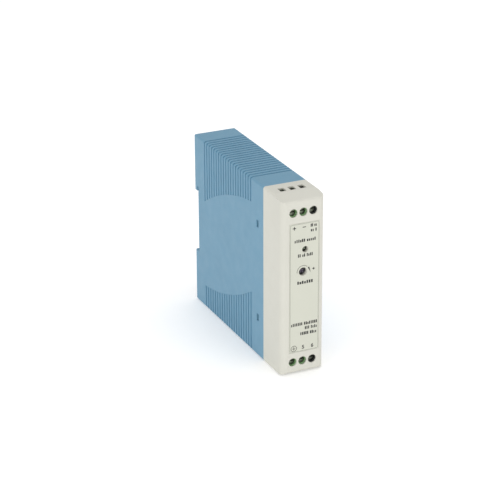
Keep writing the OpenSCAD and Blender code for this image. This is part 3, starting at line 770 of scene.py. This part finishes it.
def addSigns():
    mesh = bmesh.new()
    high = labelHigh.z - signs["fromEnd"]
    addPlus(mesh, poleX[0] + signs["aside"], high, ink["signSize"], ink["signWidth"])
    addBar(mesh, poleX[1] + signs["aside"], high, ink["signSize"], ink["signWidth"])
    low = labelLow.z + signs["fromEnd"]
    earthX = poleX[0] + signs["aside"]
    addRing(mesh, earthX, low, signs["earthRadius"], signs["earthLine"], 0, 360)
    addBar(mesh, earthX, low + signs["stemUp"], signs["earthLine"], signs["stemHeight"])
    for step, width in enumerate(signs["barWidths"]):
        addBar(mesh, earthX, low + signs["barUp"] - signs["barStep"] * step, width, signs["barHeight"])
    addDigit(mesh, poleX[1] + signs["digitAside"], low, "5")
    addDigit(mesh, poleX[2], low, "6")
    addPrinting("printed_signs", mesh, inkDark)


writing = {
    "seed": 7,
    "wordGap": 0.7,             # of a letter's room
    "heights": (0.75, 1, 1),    # of a tall letter
    "widths": (0.55, 0.78),     # of a letter's room
}


def addSmallPrint():
    # right end and height of each line, its length, and the letters in its words
    dice = random.Random(writing["seed"])
    mesh = bmesh.new()
    over = labelHigh.z
    under = labelLow.z
    lines = (
        (poleX[2] + 1.9 * mm, over - 1.8 * mm, 3.3 * mm, (2, 2)),
        (poleX[2] + 1.9 * mm, over - 4.2 * mm, 3.2 * mm, (2, 1)),
        (labelMiddle.x + 5.8 * mm, over - 8.7 * mm, 11.2 * mm, (6, 5)),
        (lampAt.x + 3.95 * mm, lampAt.z - 2.8 * mm, 7.9 * mm, (2, 2, 4)),
        (trimmerAt.x + 5.25 * mm, trimmerAt.z - 5.4 * mm, 8.4 * mm, (7,)),
        (labelHigh.x - 0.85 * mm, under + 14.4 * mm, 13.8 * mm, (7, 8)),
        (labelHigh.x - 0.9 * mm, under + 12 * mm, 6.5 * mm, (3, 4)),
        (labelHigh.x - 1.1 * mm, under + 9.3 * mm, 8.7 * mm, (5, 4)),
    )
    for right, z, width, words in lines:
        addWriting(mesh, right, z, width, words, dice)
    addPrinting("printed_small_print", mesh, inkDark)


# the marks round the trimmer, each placed across and up from its middle
scale = {
    "arcRadius": 3.1 * mm,
    "arcWidth": 0.3 * mm,
    "arcStart": 185,
    "arcSweep": -140,
    "arrowAt": (3.95 * mm, -0.9 * mm),
    "arrowWidth": 0.85 * mm,
    "arrowLength": 3 * mm,
    "arrowTurn": -22,
    "plusAt": (5.5 * mm, 0.7 * mm),
    "plusSize": 1.3 * mm,
    "plusWidth": 0.36 * mm,
}


def addTrimmerScale():
    mesh = bmesh.new()
    addRing(mesh, trimmerAt.x, trimmerAt.z, scale["arcRadius"], scale["arcWidth"], scale["arcStart"],
            scale["arcSweep"])
    addPrinting("printed_trimmer_arc", mesh, inkLine)
    mesh = bmesh.new()
    across, up = scale["arrowAt"]
    addArrowhead(mesh, trimmerAt.x + across, trimmerAt.z + up, scale["arrowWidth"], scale["arrowLength"],
                 scale["arrowTurn"])
    across, up = scale["plusAt"]
    addPlus(mesh, trimmerAt.x + across, trimmerAt.z + up, scale["plusSize"], scale["plusWidth"])
    addPrinting("printed_trimmer_sign", mesh, inkDark)


def addBorder():
    mesh = bmesh.new()
    bmesh.ops.create_grid(mesh, x_segments=1, y_segments=1, size=0.5)
    size = labelHigh - labelLow - 2 * ink["borderInset"] * Vector((1, 0, 1))
    place = Matrix.Translation((labelMiddle.x, filmY, labelMiddle.z))
    place = place @ Matrix.Rotation(math.pi / 2, 4, "X") @ Matrix.Diagonal((size.x, size.z, 1, 1))
    bmesh.ops.transform(mesh, matrix=place, verts=mesh.verts)
    bmesh.ops.bevel(mesh, geom=mesh.verts, offset=ink["borderCorner"], offset_type="OFFSET",
                    affect="VERTICES", segments=ink["borderSteps"], profile=0.5, material=-1)
    inner = list(mesh.faces)
    bmesh.ops.inset_individual(mesh, faces=inner, thickness=ink["border"], use_even_offset=True)
    bmesh.ops.delete(mesh, geom=inner, context="FACES")
    raised = bmesh.ops.extrude_face_region(mesh, geom=list(mesh.faces))["geom"]
    bmesh.ops.translate(mesh, verts=vertsIn(raised), vec=(0, -ink["thickness"], 0))
    addPrinting("printed_border", mesh, inkLine)


addSigns()
addSmallPrint()
addTrimmerScale()
addBorder()
print("label printed")


studio = {
    "floor": rgb(250, 250, 250),
    "floorSize": 40,
    "floorRoughness": 0.9,
    "floorCloud": 6,
    "floorShade": 0.99,
    "floorGlow": 0.18,     # lit from below, as a light table is
    "sky": 0.68,
    "key": {"place": (-1.2, -0.65, 0.2), "size": 0.9, "power": 5.8},
    "fill": {"place": (0.45, -1.2, 0.2), "size": 0.8, "power": 4},
    "top": {"place": (0.1, 0.1, 1.3), "size": 1.2, "power": 5.4},
}


def addFloor():
    mesh = bmesh.new()
    bmesh.ops.create_grid(mesh, x_segments=1, y_segments=1, size=studio["floorSize"])
    bmesh.ops.translate(mesh, verts=mesh.verts, vec=(0, 0, baseZ))
    data = bpy.data.meshes.new("floor")
    mesh.to_mesh(data)
    mesh.free()
    material, nodes, links, shader = startMaterial("floor")
    shade = addSpread(nodes, links, addNoise(nodes, links, studio["floorCloud"], 2), 0, 1)
    shaded = tinted(studio["floor"], studio["floorShade"])
    clouded = addColourMix(nodes, links, shade, studio["floor"], shaded)
    links.new(clouded, shader.inputs["Base Color"])
    shader.inputs["Roughness"].default_value = studio["floorRoughness"]
    shader.inputs["Emission Color"].default_value = (1, 1, 1, 1)
    shader.inputs["Emission Strength"].default_value = studio["floorGlow"]
    data.materials.append(material)
    floor = bpy.data.objects.new("floor", data)
    bpy.context.scene.collection.objects.link(floor)


def addLight(name, settings):
    data = bpy.data.lights.new(name, "AREA")
    data.size = settings["size"]
    data.energy = settings["power"]
    light = bpy.data.objects.new(name, data)
    place = Vector(settings["place"])
    light.matrix_world = Matrix.Translation(place) @ place.to_track_quat("Z", "Y").to_matrix().to_4x4()
    bpy.context.scene.collection.objects.link(light)


def addSky(strength):
    world = bpy.data.worlds.new("studio")
    world.use_nodes = True
    background = world.node_tree.nodes["Background"]
    background.inputs["Color"].default_value = (1, 1, 1, 1)
    background.inputs["Strength"].default_value = strength
    bpy.context.scene.world = world


addFloor()
addSky(studio["sky"])
for lightName in ("key", "fill", "top"):
    addLight(lightName, studio[lightName])
bpy.context.scene.view_settings.view_transform = "Standard"
print("studio ready")
